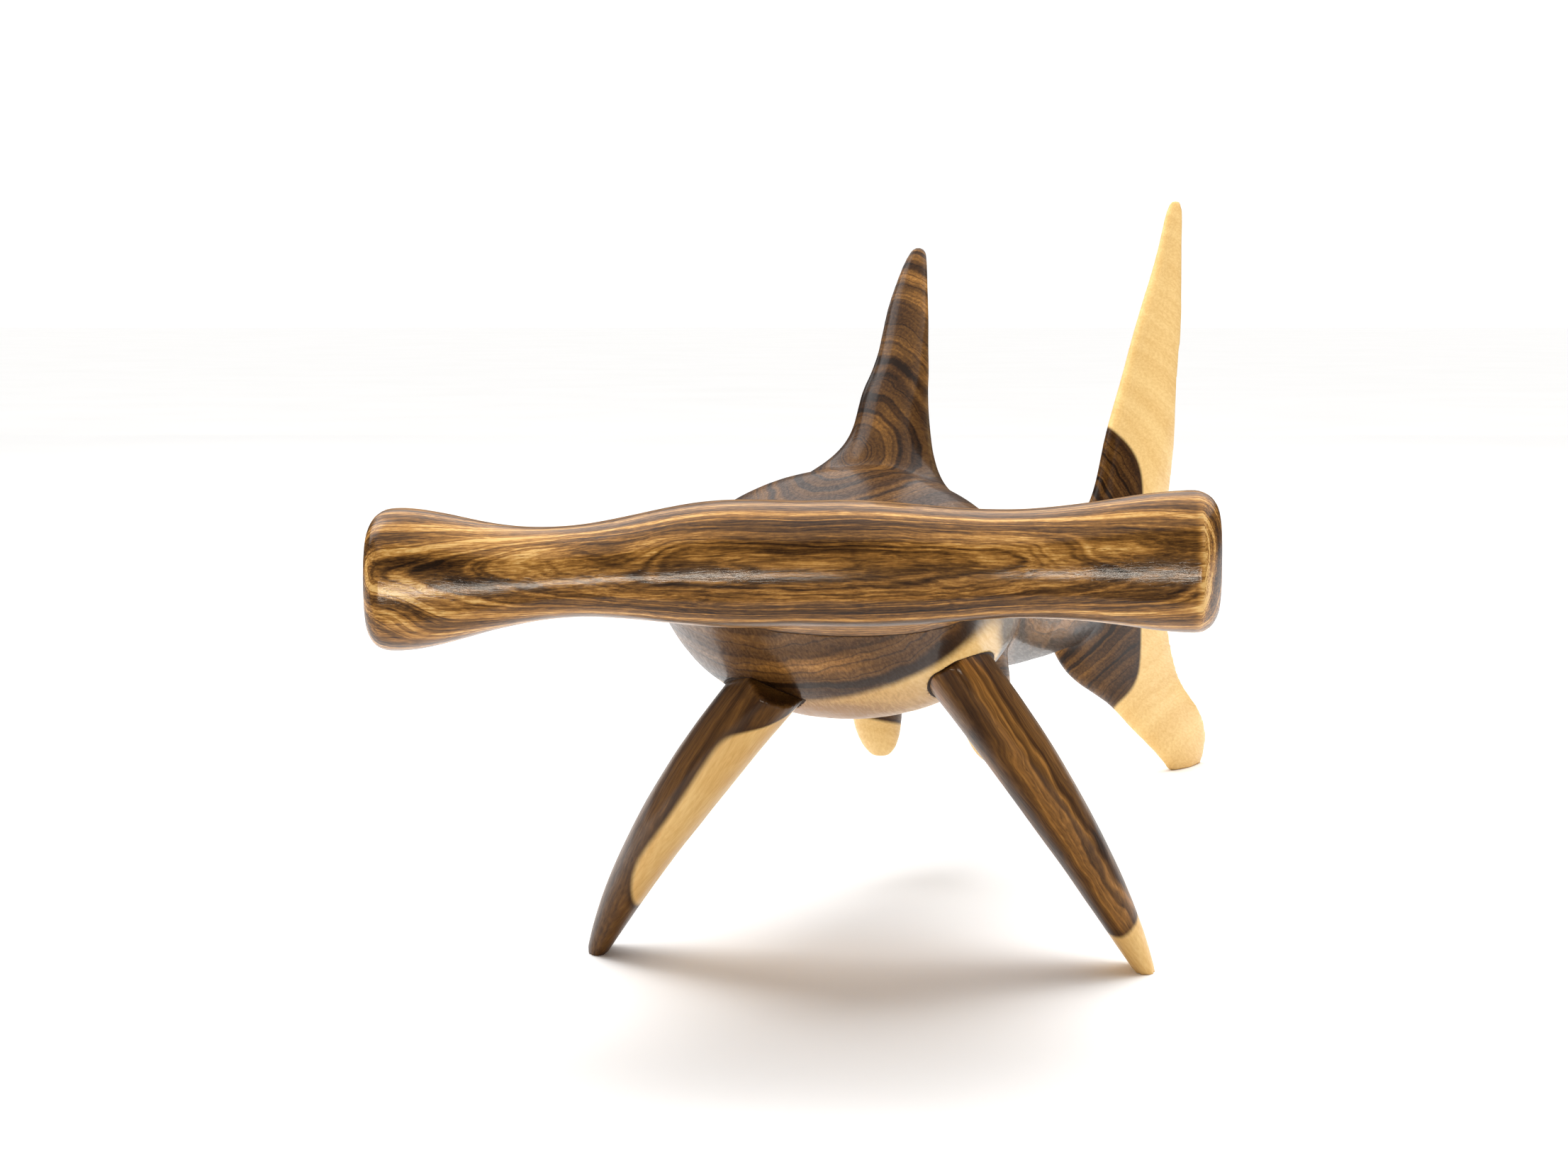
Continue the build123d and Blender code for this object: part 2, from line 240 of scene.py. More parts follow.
# %% The finish kit
class Finish:
    """A material with one Principled shader, and short ways to add nodes."""

    def __init__(self, name, **settings):
        self.material = bpy.data.materials.new(name)
        self.material.use_nodes = True
        self.tree = self.material.node_tree
        self.shader = self.tree.nodes["Principled BSDF"]
        for socket, value in settings.items():
            self.shader.inputs[socket.replace("_", " ")].default_value = value

    def node(self, kind, inputs=(), output=0, **settings):
        made = self.tree.nodes.new(kind)
        for name, value in settings.items():
            setattr(made, name, value)
        for socket, value in dict(inputs).items():
            if isinstance(value, bpy.types.NodeSocket):
                self.tree.links.new(value, made.inputs[socket])
            else:
                made.inputs[socket].default_value = value
        return made.outputs[output]

    def maths(self, operation, *values):
        return self.node("ShaderNodeMath", dict(enumerate(values)), operation=operation)

    def sum(self, *values):
        total = values[0]
        for value in values[1:]:
            total = self.maths("ADD", total, value)
        return total

    def times(self, a, b):
        return self.maths("MULTIPLY", a, b)

    def limit(self, value, low, high, new_low=0.0, new_high=1.0):
        """The value's stretch from low to high, spread smoothly over the new range."""
        inputs = {"Value": value, 1: low, 2: high, 3: new_low, 4: new_high}
        return self.node("ShaderNodeMapRange", inputs, interpolation_type="SMOOTHSTEP")

    def noise(self, vector, scale, detail=2.0, rough=0.5, distort=0.0):
        inputs = {
            "Vector": vector, "Scale": scale, "Detail": detail,
            "Roughness": rough, "Distortion": distort,
        }
        return self.node("ShaderNodeTexNoise", inputs)

    def mix(self, share, a, b, blend="MIX"):
        inputs = {"Factor": share, 6: a, 7: b}
        return self.node(
            "ShaderNodeMix", inputs, output=2, data_type="RGBA", blend_type=blend
        )

    def ramp(self, value, stops):
        made = self.tree.nodes.new("ShaderNodeValToRGB")
        self.tree.links.new(value, made.inputs[0])
        points = made.color_ramp.elements
        while len(points) < len(stops):
            points.new(0.5)
        for point, (place, colour) in zip(points, stops):
            point.position = place
            point.color = (*colour, 1)
        return made.outputs[0]

    def use(self, socket, value):
        self.tree.links.new(value, self.shader.inputs[socket])

    def describe(self):
        print("finish", self.material.name, "made of", len(self.tree.nodes), "nodes")


def tone(red, green, blue):
    """A colour as read off a paint chart, 0 to 255, in the renderer's linear units."""
    shares = [value / 255 for value in (red, green, blue)]
    return tuple(
        s / 12.92 if s <= 0.04045 else ((s + 0.055) / 1.055) ** 2.4 for s in shares
    )


# %% [markdown]
# ## The flags' cloth
#
# Black velvet swallows light: it has no shine and almost no colour.  The nap
# makes it a little uneven.

# %% The flags' cloth
velvet = Finish("flag_velvet", Roughness=1.0, Specular_IOR_Level=0.0)
velvet_nap = velvet.noise(velvet.node("ShaderNodeTexCoord", output=3), 60.0)
VELVET_DARK, VELVET_LIGHT = tone(30, 28, 26), tone(44, 42, 40)
velvet.use("Base Color", velvet.mix(velvet_nap, (*VELVET_DARK, 1), (*VELVET_LIGHT, 1)))
for cloth in FLAGS:
    cloth.data.materials.append(velvet.material)
velvet.describe()

# %% [markdown]
# ## The floor
#
# A plain pale sheet, wide enough that its edge is never seen.  A trace of
# mottling keeps it from looking like a printed colour.

# %% Floor
FLOOR_HALF = 6.0

floor_mesh = bpy.data.meshes.new("floor")
corners = [(-1, -1, 0), (1, -1, 0), (1, 1, 0), (-1, 1, 0)]
floor_mesh.from_pydata([Vector(c) * FLOOR_HALF for c in corners], [], [(0, 1, 2, 3)])
floor = bpy.data.objects.new("floor", floor_mesh)
bpy.context.scene.collection.objects.link(floor)
paper = Finish("studio_paper", Roughness=0.9)
paper_place = paper.node("ShaderNodeTexCoord", output=3)
mottle = paper.noise(paper_place, 9.0)
paper.use("Base Color", paper.mix(mottle, (*tone(246, 245, 243), 1), (*tone(252, 251, 250), 1)))
floor_mesh.materials.append(paper.material)
floor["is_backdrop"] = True
paper.describe()

# %% [markdown]
# ## Carving the skin
#
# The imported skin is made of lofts, and where two of them cross there is a hard
# crease.  A carver leaves no creases: a gouge runs along the root of each fin
# and leaves a hollow there.  The way used here is the digital twin of clay:
# join the pieces, remesh them into one even skin of small squares, fill only
# the valleys (each point may move outwards, never inwards) and then smooth the
# facets away without shrinking the form.

# %% Mesh helpers
WELD = 0.001 * MM


def copy_of(name, new_name):
    """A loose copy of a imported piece, welded along its hard edges and free to be carved."""
    piece = bpy.data.objects.new(new_name, nodes[name].data.copy())
    piece.data.materials.clear()
    bpy.context.scene.collection.objects.link(piece)
    form = bmesh.new()
    form.from_mesh(piece.data)
    bmesh.ops.remove_doubles(form, verts=form.verts, dist=WELD)
    form.to_mesh(piece.data)
    form.free()
    return piece


def wrap(piece):
    """Turns a piece into the convex form that fits round it."""
    form = bmesh.new()
    for point in points_of(piece):
        form.verts.new(point)
    made = bmesh.ops.convex_hull(form, input=form.verts)
    inner = set(made["geom_interior"]) | set(made["geom_unused"])
    bmesh.ops.delete(form, geom=[g for g in inner if isinstance(g, bmesh.types.BMVert)])
    form.to_mesh(piece.data)
    form.free()
    return piece


def joined(pieces, name):
    """The pieces as one, in the first piece's object."""
    with bpy.context.temp_override(
        active_object=pieces[0], selected_editable_objects=pieces, selected_objects=pieces
    ):
        bpy.ops.object.join()
    pieces[0].name = name
    return pieces[0]


def apply_modifiers(piece):
    """Makes what the modifiers show the piece's own mesh."""
    graph = bpy.context.evaluated_depsgraph_get()
    carved = bpy.data.meshes.new_from_object(piece.evaluated_get(graph))
    piece.modifiers.clear()
    piece.data = carved
    piece.data.name = piece.name


def remesh(piece, grain):
    """One even skin of small squares, with the largest loose part kept."""
    knife = piece.modifiers.new("squares", "REMESH")
    knife.mode = "VOXEL"
    knife.voxel_size = grain
    apply_modifiers(piece)
    keep_largest(piece)


def keep_largest(piece):
    """Throws away every loose part but the largest."""
    form = bmesh.new()
    form.from_mesh(piece.data)
    left = set(form.verts)
    parts = []
    while left:
        front = [left.pop()]
        part = list(front)
        while front:
            near = {e.other_vert(v) for v in front for e in v.link_edges} & left
            left -= near
            front = list(near)
            part += front
        parts.append(part)
    parts.sort(key=len)
    for part in parts[:-1]:
        bmesh.ops.delete(form, geom=part)
    form.to_mesh(piece.data)
    form.free()
    print(piece.name, "parts", len(parts), "faces", len(piece.data.polygons))


def points_of(piece):
    points = np.empty(len(piece.data.vertices) * 3)
    piece.data.vertices.foreach_get("co", points)
    return points.reshape(-1, 3)


def set_points(piece, points):
    piece.data.vertices.foreach_set("co", points.ravel())
    piece.data.update()


def normals_of(piece):
    normals = np.empty(len(piece.data.vertices) * 3)
    piece.data.vertices.foreach_get("normal", normals)
    return normals.reshape(-1, 3)


def neighbour_mean(piece):
    """A function that gives each point's neighbours' mean."""
    edges = np.empty(len(piece.data.edges) * 2, int)
    piece.data.edges.foreach_get("vertices", edges)
    ends = edges.reshape(-1, 2)
    here = np.concatenate([ends[:, 0], ends[:, 1]])
    there = np.concatenate([ends[:, 1], ends[:, 0]])
    count = np.bincount(here, minlength=len(piece.data.vertices))[:, None]

    def mean(values):
        columns = [
            np.bincount(here, values[there, i], len(count)) for i in range(values.shape[1])
        ]
        return np.stack(columns, 1) / count

    return mean


def fill_valleys(piece, passes, strength=0.5):
    """Each point moves towards its neighbours' mean, but only outwards."""
    mean = neighbour_mean(piece)
    points = points_of(piece)
    for done in range(passes):
        if done % 10 == 0:
            set_points(piece, points)
            normals = normals_of(piece)
        lift = ((mean(points) - points) * normals).sum(1)
        points += normals * (np.maximum(lift, 0) * strength)[:, None]
    set_points(piece, points)


def smooth(piece, passes, shrink=0.5, swell=-0.52):
    """Smooths facets away; the second, opposite step keeps the form's size."""
    mean = neighbour_mean(piece)
    points = points_of(piece)
    for _ in range(passes):
        for step in (shrink, swell):
            points += (mean(points) - points) * step
    set_points(piece, points)


def keep_inside(piece, low, high):
    set_points(piece, np.clip(points_of(piece), low, high))


# %% Cutting helpers
SOLVER = "MANIFOLD"


def cut(piece, cutter):
    """Takes the cutter's form out of the piece, then throws the cutter away."""
    knife = piece.modifiers.new("cut", "BOOLEAN")
    knife.operation = "DIFFERENCE"
    knife.solver = SOLVER
    knife.object = cutter
    apply_modifiers(piece)
    bpy.data.objects.remove(cutter)


def dowel_axis(name):
    """The middle of a dowel and the direction that it runs in, out of the body."""
    points = points_of(nodes[name])
    middle = (points.min(0) + points.max(0)) / 2
    spread = np.linalg.eigh(np.cov((points - middle).T))[1]
    axis = Vector(spread[:, 2])
    return Vector(middle), axis if axis.z < 0 else -axis


def dowel_room(name, round_room=0.05, end_room=0.5):
    """The hole that a dowel needs: its own form, grown a little."""
    middle, axis = dowel_axis(name)
    points = points_of(nodes[name]) - np.array(middle)
    along = points @ np.array(axis)
    across = points - np.outer(along, axis)
    radius = np.linalg.norm(across, axis=1).max()
    along *= 1 + end_room * MM / along.max()
    across *= 1 + round_room * MM / radius
    room = copy_of(name, name + "_room")
    set_points(room, np.array(middle) + across + np.outer(along, axis))
    return room


def slice_between(piece, name, low_y=None, high_y=None):
    """A copy of what lies between two upright planes across the figure, closed."""
    part = bpy.data.objects.new(name, piece.data.copy())
    part.data.name = name
    bpy.context.scene.collection.objects.link(part)
    form = bmesh.new()
    form.from_mesh(part.data)
    for y, normal in ((low_y, (0, -1, 0)), (high_y, (0, 1, 0))):
        if y is None:
            continue
        all_of_it = form.verts[:] + form.edges[:] + form.faces[:]
        made = bmesh.ops.bisect_plane(
            form, geom=all_of_it, plane_co=(0, y, 0), plane_no=normal, clear_outer=True
        )
        rim = [e for e in made["geom_cut"] if isinstance(e, bmesh.types.BMEdge)]
        bmesh.ops.contextual_create(form, geom=rim)
    bmesh.ops.recalc_face_normals(form, faces=form.faces)
    form.to_mesh(part.data)
    form.free()
    return part


def hand_worked(piece, depth, seed):
    """A touch of unevenness, as files and sandpaper leave it."""
    points = points_of(piece)
    normals = normals_of(piece)
    shift = Vector((seed, seed * 2, -seed))
    wave = [
        noise.noise(Vector(p) / (9 * MM) + shift) + 0.5 * noise.noise(Vector(p) / (4 * MM) + shift)
        for p in points
    ]
    set_points(piece, points + normals * (np.array(wave) * depth)[:, None])


def check_closed(piece):
    """Prints how many edges don't join exactly two faces."""
    form = bmesh.new()
    form.from_mesh(piece.data)
    open_edges = sum(1 for e in form.edges if not e.is_manifold)
    print(piece.name, "faces", len(form.faces), "open edges", open_edges)
    form.free()


# %% [markdown]
# The hammer and the long block are carved together, so that their skins run
# into each other, and the blank is parted again at the glue line afterwards.
# The shallow sockets of the pectoral fins are plugged first, or the remesh
# would round their rims away; they are cut again, crisp, at the end.

# %% Carve the hammer and the long block as one skin
SKIN_SQUARE = 0.6 * MM
VALLEY_PASSES = 90
SKIN_SMOOTHING = 12
TOOL_MARKS = 0.07 * MM

FIN_SIDES = ("right", "left")
BLANK_PARTS = [copy_of(name, name + "_blank") for name in ("head", "body", "head_glue_line")]
blank = joined(
    BLANK_PARTS + [wrap(copy_of(f"{side}_fin_glue_line", "plug")) for side in FIN_SIDES],
    "carved_form",
)
remesh(blank, SKIN_SQUARE)
start_points = points_of(blank)
fill_valleys(blank, VALLEY_PASSES)
smooth(blank, SKIN_SMOOTHING)
hand_worked(blank, TOOL_MARKS, 3.0)
moved = np.linalg.norm(points_of(blank) - start_points, axis=1)
print("deepest hollow filled in mm:", round(moved.max() / MM, 2))

# %% [markdown]
# The hammer's left end, as the shark faces, was planed off at the front corner
# and leaves a sharp, slightly proud ridge from top to bottom.  A ridge is a
# place where the surface changes direction at once, so the points beyond the
# line are pushed back in proportion to how far past it they are.

# %% Bevel the hammer's front corner
RIDGE_SIDE = 48.6  # mm to the side of the nose
BEVEL_SLOPE = 1.25
BEVEL_REACH = 14.0  # mm behind the front edge, where the bevel has died away
BEVEL_FADE = 10.0  # mm over which it dies away
RIDGE_WIDTH = 0.5
RIDGE_HEIGHT = 0.12

points = (points_of(blank) - np.array(nose)) / MM
past_ridge = np.maximum(points[:, 0] - RIDGE_SIDE, 0)
in_front = np.clip((BEVEL_REACH - points[:, 1]) / BEVEL_FADE, 0, 1)
on_hammer = points[:, 1] < joint_low.y / MM - nose.y / MM
points[:, 1] += past_ridge * BEVEL_SLOPE * in_front * on_hammer
near_ridge = np.exp(-(((points[:, 0] - RIDGE_SIDE) / RIDGE_WIDTH) ** 2))
points[:, 1] -= RIDGE_HEIGHT * near_ridge * in_front * on_hammer
set_points(blank, points * MM + np.array(nose))
keep_inside(blank, np.array(cad_box[0]), np.array(cad_box[1]))
print("points pushed back by the bevel:", int(((past_ridge > 0) & on_hammer).sum()))

# %% Part the form at the glue line
head = slice_between(blank, "carved_head", high_y=joint_low.y)
head_glue = slice_between(blank, "head_glue", low_y=joint_low.y, high_y=joint_high.y)
body = slice_between(blank, "carved_body", low_y=joint_high.y)
bpy.data.objects.remove(blank)
print("parted into", head.name, head_glue.name, body.name)

# %% Bore the dowel holes and cut the fin sockets
GLUE_ROOM = 0.35  # mm of glue all round a fin's root
ROOT_REACH = 17  # mm of the fin's root that shape the socket


def socket_form(side):
    """A fin's own root, grown by the room for glue, which cuts its socket."""
    middle, outwards = dowel_axis(f"{side}_fin_dowel")
    root = copy_of(f"{side}_pectoral_fin", "socket_cutter")
    form = bmesh.new()
    form.from_mesh(root.data)
    far_end = middle + outwards * ROOT_REACH * MM
    all_of_it = form.verts[:] + form.edges[:] + form.faces[:]
    bmesh.ops.bisect_plane(
        form, geom=all_of_it, plane_co=far_end, plane_no=outwards, clear_outer=True
    )
    form.to_mesh(root.data)
    form.free()
    wrap(root)
    set_points(root, points_of(root) + normals_of(root) * GLUE_ROOM * MM)
    return root


for side in FIN_SIDES:
    for piece in (head, head_glue, body):
        cut(piece, dowel_room(f"{side}_head_dowel"))
    cut(body, socket_form(side))
    cut(body, dowel_room(f"{side}_fin_dowel"))

for piece in (head, head_glue, body):
    check_closed(piece)

# %% [markdown]
# ## The pectoral fins
#
# Each is a separate block, carved to a blade and then set into its socket, so
# it gets its own skin with smaller squares.  The dowel hole is plugged for the
# remesh and bored again.  The foot is set flat on the floor, because the
# figure stands on it.

# %% Carve the pectoral fins
FIN_SQUARE = 0.45 * MM
FIN_SMOOTHING = 6
FIN_TOOL_MARKS = 0.05 * MM
FOOT_BAND = 0.12 * MM  # skin this near the floor is set flat on it

fins = {}
for side in FIN_SIDES:
    name = f"{side}_pectoral_fin"
    low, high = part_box(name)
    fin = joined(
        [copy_of(name, name + "_blank"), dowel_room(f"{side}_fin_dowel", 0.2, -0.6)],
        f"carved_{side}_fin",
    )
    remesh(fin, FIN_SQUARE)
    smooth(fin, FIN_SMOOTHING)
    hand_worked(fin, FIN_TOOL_MARKS, 7.0)
    keep_inside(fin, np.array(low), np.array(high))
    points = points_of(fin)
    points[points[:, 2] < FOOT_BAND, 2] = 0
    set_points(fin, points)
    cut(fin, dowel_room(f"{side}_fin_dowel"))
    check_closed(fin)
    fins[side] = fin

# %% [markdown]
# ## Wood
#
# A tree is a stack of cones: seen across the grain every year is a ring, and a
# carved surface cuts through the rings like a hillside through rock layers.
# So the wood is not painted on the skin; it fills the block.  Each finish
# starts from a place in the block, measured in millimetres along and across
# the grain, bends it a little as a living trunk bends, and asks how far it is
# from the heart of the tree.  Everything else (bands, dark smoke lines,
# fibres and pores) follows from that distance, so the figure wraps round the
# carving and meets itself on every side.

# %% The block's own directions
def grain_place(finish, heart, along, up=(0, 0, 1)):
    """Places in mm from a point of the heart: x along the grain, z upwards."""
    along = Vector(along).normalized()
    across = Vector(up).cross(along).normalized()
    turned = Matrix((along, across, along.cross(across))).transposed()
    inputs = {
        "Vector": finish.node("ShaderNodeTexCoord", output=3),
        "Location": heart,
        "Rotation": turned.to_euler(),
        "Scale": (MM, MM, MM),
    }
    return finish.node("ShaderNodeMapping", inputs, vector_type="TEXTURE")


def vector_maths(finish, operation, a, b=None, output=0):
    inputs = {0: a} if b is None else {0: a, 1: b}
    return finish.node("ShaderNodeVectorMath", inputs, output, operation=operation)


def split_place(finish, place):
    """The three numbers of a place."""
    parts = finish.tree.nodes.new("ShaderNodeSeparateXYZ")
    finish.tree.links.new(place, parts.inputs[0])
    return parts.outputs


def wander(finish, place, scale, reach, stretch=0.25):
    """The place, carried off by up to half the reach, in slow waves along the grain."""
    drawn = vector_maths(finish, "MULTIPLY", place, (stretch, 1, 1))
    inputs = {"Vector": drawn, "Scale": scale, "Detail": 1.5}
    waves = finish.node("ShaderNodeTexNoise", inputs, output=1)
    centred = vector_maths(finish, "SUBTRACT", waves, (0.5, 0.5, 0.5))
    pushed = vector_maths(finish, "MULTIPLY", centred, (reach, reach, reach))
    return vector_maths(finish, "ADD", place, pushed)


def spot(finish, centre, size):
    """1 in the middle of an egg-shaped spot of the block, fading to 0 at its edge.
    The centre is in mm from the nose, and the size is its three half lengths."""
    inputs = {
        "Vector": finish.node("ShaderNodeTexCoord", output=3),
        "Location": at(*centre),
        "Scale": Vector(size) * MM,
    }
    place = finish.node("ShaderNodeMapping", inputs, vector_type="TEXTURE")
    far = vector_maths(finish, "LENGTH", place, output=1)
    return finish.limit(far, 1.0, 0.0)


def spots(finish, layout):
    """The sum of several spots, each with its own strength."""
    total = 0.0
    for centre, size, strength in layout:
        total = finish.maths("MULTIPLY_ADD", spot(finish, centre, size), strength, total)
    return total


def rings(finish, place, swirls=()):
    """How far from the heart, in mm, with the rings bent round each swirl."""
    flat = vector_maths(finish, "MULTIPLY", place, (0, 1, 1))
    far = vector_maths(finish, "LENGTH", flat, output=1)
    return finish.sum(far, spots(finish, swirls)) if swirls else far


def bands(finish, far, scale, detail=4.0, rough=0.6):
    """Uneven light and dark bands that depend only on the distance."""
    inputs = {"W": far, "Scale": scale, "Detail": detail, "Roughness": rough}
    made = finish.node("ShaderNodeTexNoise", inputs, noise_dimensions="1D")
    return finish.limit(made, 0.28, 0.72)


def hairlines(finish, far, scale, width):
    """Thin lines along some of the rings: 1 on a line, 0 off it."""
    made = finish.node(
        "ShaderNodeTexNoise", {"W": far, "Scale": scale, "Detail": 1.0}, noise_dimensions="1D"
    )
    near = finish.maths("ABSOLUTE", finish.sum(made, -0.5))
    return finish.limit(near, width, 0.0)


def fibres(finish, place, stretch, scale, low, high, detail=2.0):
    """Noise drawn out along the grain: 0 below low, 1 above high."""
    drawn = vector_maths(finish, "MULTIPLY", place, (stretch, 1, 1))
    return finish.limit(finish.noise(drawn, scale, detail, 0.65), low, high)


def polish(finish, height, depth=0.004):
    """Oil rubbed into the wood: the fibres still break up the shine a little."""
    inputs = {"Height": height, "Distance": depth * MM, "Strength": 1.0}
    relief = finish.node("ShaderNodeBump", inputs)
    finish.use("Normal", relief)
    finish.use("Coat Normal", relief)


OILED = {"Coat_Weight": 0.45, "Coat_Roughness": 0.13, "Specular_IOR_Level": 0.05}
RUBBED = {
    "Coat_Weight": 0.28, "Coat_Roughness": 0.16, "Coat_IOR": 1.42, "Specular_IOR_Level": 0.04,
}
PORE_TONE = (*tone(36, 22, 12), 1)
PORE_DEPTH = -0.8  # against the fibres' height of 1

HEART_TONES = (
    (0.00, tone(34, 20, 9)),
    (0.20, tone(66, 41, 18)),
    (0.42, tone(100, 67, 30)),
    (0.62, tone(144, 98, 45)),
    (0.82, tone(190, 138, 70)),
    (1.00, tone(224, 180, 110)),
)

# %% [markdown]
# ### The hammer's wood
#
# The bar lies across the figure, so its grain runs from eye to eye.  The heart
# of this piece is just in front of the bar: the front face is cut almost along
# the rings, which draws them as long nested ovals, and the lower half cuts
# across them, which packs them into fine stripes.  A few swirls bend the rings
# where branches grew, and a few tints warm or darken the wood.  One light band
# down the ridge at the hammer's left end is not wood: it is a painted highlight.

# %% Hammer wood
HAMMER_SWIRLS = (
    ((-49.5, 6, 57.0), (9, 14, 5), 3.0),
    ((-43.0, 6, 69.0), (22, 14, 7), 2.2),
    ((-31.0, 6, 66.0), (15, 14, 5), -1.3),
    ((-20.0, 6, 65.0), (9, 12, 3.5), 1.1),
    ((2.0, 4, 67.0), (26, 12, 3.5), 0.9),
    ((37.5, 6, 65.0), (12, 14, 3.2), 1.7),
    ((42.0, 6, 58.0), (16, 14, 5), -1.0),
)
HAMMER_TINTS_AND_HIGHLIGHT = (
    ((-46.5, 5, 60.8), (7, 12, 2.2), 0.34),
    ((-40.0, 5, 59.4), (9, 12, 2.0), 0.24),
    ((-44.0, 5, 63.4), (7.0, 10, 1.6), -0.36),
    ((-38.0, 5, 61.6), (7.0, 10, 1.5), -0.40),
    ((-39.0, 5, 66.6), (10, 12, 3.0), 0.18),
    ((-31.0, 5, 64.8), (10, 12, 4.0), 0.26),
    ((-22.4, 5, 64.8), (6.0, 10, 2.2), -0.26),
    ((3.5, 2, 67.0), (22, 10, 2.6), -0.24),
    ((-12.0, 2, 65.3), (13, 10, 2.0), 0.20),
    ((24.0, 4, 65.0), (15, 12, 3.2), 0.24),
    ((37.7, 5, 65.3), (8.0, 12, 1.9), 0.46),
    ((40.2, 5, 62.9), (9.0, 12, 1.2), -0.34),
    # a light band down the ridge at the hammer's left end: a painted highlight, not wood
    ((48.7, 5, 63.0), (1.3, 14, 12), 0.50),
    ((52.0, 5, 63.0), (2.6, 14, 14), -0.34),
    ((-52.6, 8, 62.0), (2.2, 18, 14), -0.34),
    ((8.0, 5, 58.0), (46, 12, 4.5), -0.16),
    ((6.0, 8, 75.0), (52, 16, 4.5), -0.16),
)

hammer = Finish("hammer_wood", **OILED)
hammer_place = grain_place(hammer, at(0, -22, 67.5), (1, 0.01, 0.02))
hammer_bent = wander(hammer, hammer_place, 0.05, 4.6, 0.2)
hammer_curled = wander(hammer, hammer_bent, 0.45, 0.8, 0.3)
hammer_far = rings(hammer, hammer_curled, HAMMER_SWIRLS)
hammer_bands = bands(hammer, hammer_far, 0.5)
hammer_lines = hairlines(hammer, hammer_far, 0.9, 0.06)
hammer_fibres = fibres(hammer, hammer_curled, 0.05, 5.0, 0.30, 0.70, 3.0)
hammer_streaks = fibres(hammer, hammer_curled, 0.05, 0.9, 0.3, 0.7)
hammer_pores = fibres(hammer, hammer_bent, 0.10, 4.6, 0.60, 0.74)
hammer_speckle = fibres(hammer, hammer_place, 0.5, 2.2, 0.35, 0.65)

value = hammer.maths("MULTIPLY_ADD", hammer_bands, 0.44, 0.07)
value = hammer.maths("MULTIPLY_ADD", hammer_streaks, 0.20, value)
value = hammer.maths("MULTIPLY_ADD", hammer_fibres, 0.34, value)
# the tints, and the painted highlight on the ridge
value = hammer.sum(value, spots(hammer, HAMMER_TINTS_AND_HIGHLIGHT))
value = hammer.maths("MULTIPLY_ADD", hammer_lines, -0.22, value)
value = hammer.maths("MULTIPLY_ADD", hammer_speckle, 0.08, value)
hammer_colour = hammer.ramp(value, HEART_TONES)
hammer_colour = hammer.mix(
    hammer.times(hammer_pores, 0.6), hammer_colour, (*tone(44, 26, 13), 1)
)
hammer.use("Base Color", hammer_colour)
hammer.use("Roughness", hammer.limit(hammer_fibres, 0, 1, 0.48, 0.36))
polish(hammer, hammer.maths("MULTIPLY_ADD", hammer_pores, PORE_DEPTH, hammer_fibres))
hammer.describe()

# %% [markdown]
# ### The long block's wood
#
# The long block is cut where brown heartwood meets pale sapwood, and the
# carver used that on purpose: the brown makes the shark's back and the gold
# its belly and the tips of its tail.  The border between the two is a tube
# round the heart of the tree, from the throat to the tail, and a flat cut
# through it leaves the tail's outer edge pale.

# %% Heart and sap
SAP_TONES = (
    (0.0, tone(168, 124, 70)),
    (0.4, tone(218, 174, 106)),
    (0.75, tone(238, 202, 136)),
    (1.0, tone(245, 218, 166)),
)


def heart_and_sap(finish, inside, heart_colour, sap_colour, edge=0.35):
    """Heartwood where inside (mm within the border) is above 0, sapwood where it
    is below, and a darker line along the heartwood's edge."""
    is_heart = finish.limit(inside, -edge, edge)
    rim = finish.times(is_heart, finish.limit(inside, 1.9, 0.2))
    darker = finish.mix(
        finish.times(rim, 0.55), heart_colour, (*tone(48, 30, 18), 1)
    )
    return finish.mix(is_heart, sap_colour, darker)


# %% Body wood
HEART_FRONT = at(2.5, 50, 78.5)
HEART_BACK = at(40, 212, 42.5)
HEART_RADIUS_FRONT = 37.4
HEART_RADIUS_BACK = 34.0
TAIL_BORDER_SIDE = 67.6  # mm to the side, where the tail turns pale
BORDER_CORNER = 5.0  # mm over which the tube and the flat cut run into each other
FRONT_SQUASH = 0.75  # below 1, the front of the tube is taller than it is wide
HEART_LENGTH = (HEART_BACK - HEART_FRONT).length / MM

block = Finish("body_wood", **RUBBED)
block_place = grain_place(block, HEART_FRONT, HEART_BACK - HEART_FRONT)
block_bent = wander(block, block_place, 0.04, 5.0)
block_curled = wander(block, block_bent, 0.3, 1.2, 0.4)
along, across, up = split_place(block, wander(block, block_place, 0.05, 1.2))
squash = block.limit(along, HEART_LENGTH * 0.45, HEART_LENGTH * 0.9, FRONT_SQUASH, 1.0)
above = block.times(block.maths("MAXIMUM", up, 0.0), squash)
below = block.maths("MINIMUM", up, 0.0)
flat_place = {0: 0.0, 1: across, 2: block.sum(above, below)}
border_place = block.node("ShaderNodeCombineXYZ", flat_place)
border_far = vector_maths(block, "LENGTH", border_place, output=1)
border_radius = block.limit(along, 0, HEART_LENGTH, HEART_RADIUS_FRONT, HEART_RADIUS_BACK)
tube_inside = block.maths("SUBTRACT", border_radius, border_far)
past_side = split_place(block, grain_place(block, at(TAIL_BORDER_SIDE, 0, 0), (1, 0, 0)))[0]
tail_inside = block.maths("MULTIPLY", past_side, -1.0)
inside = block.maths("SMOOTH_MIN", tube_inside, tail_inside, BORDER_CORNER)

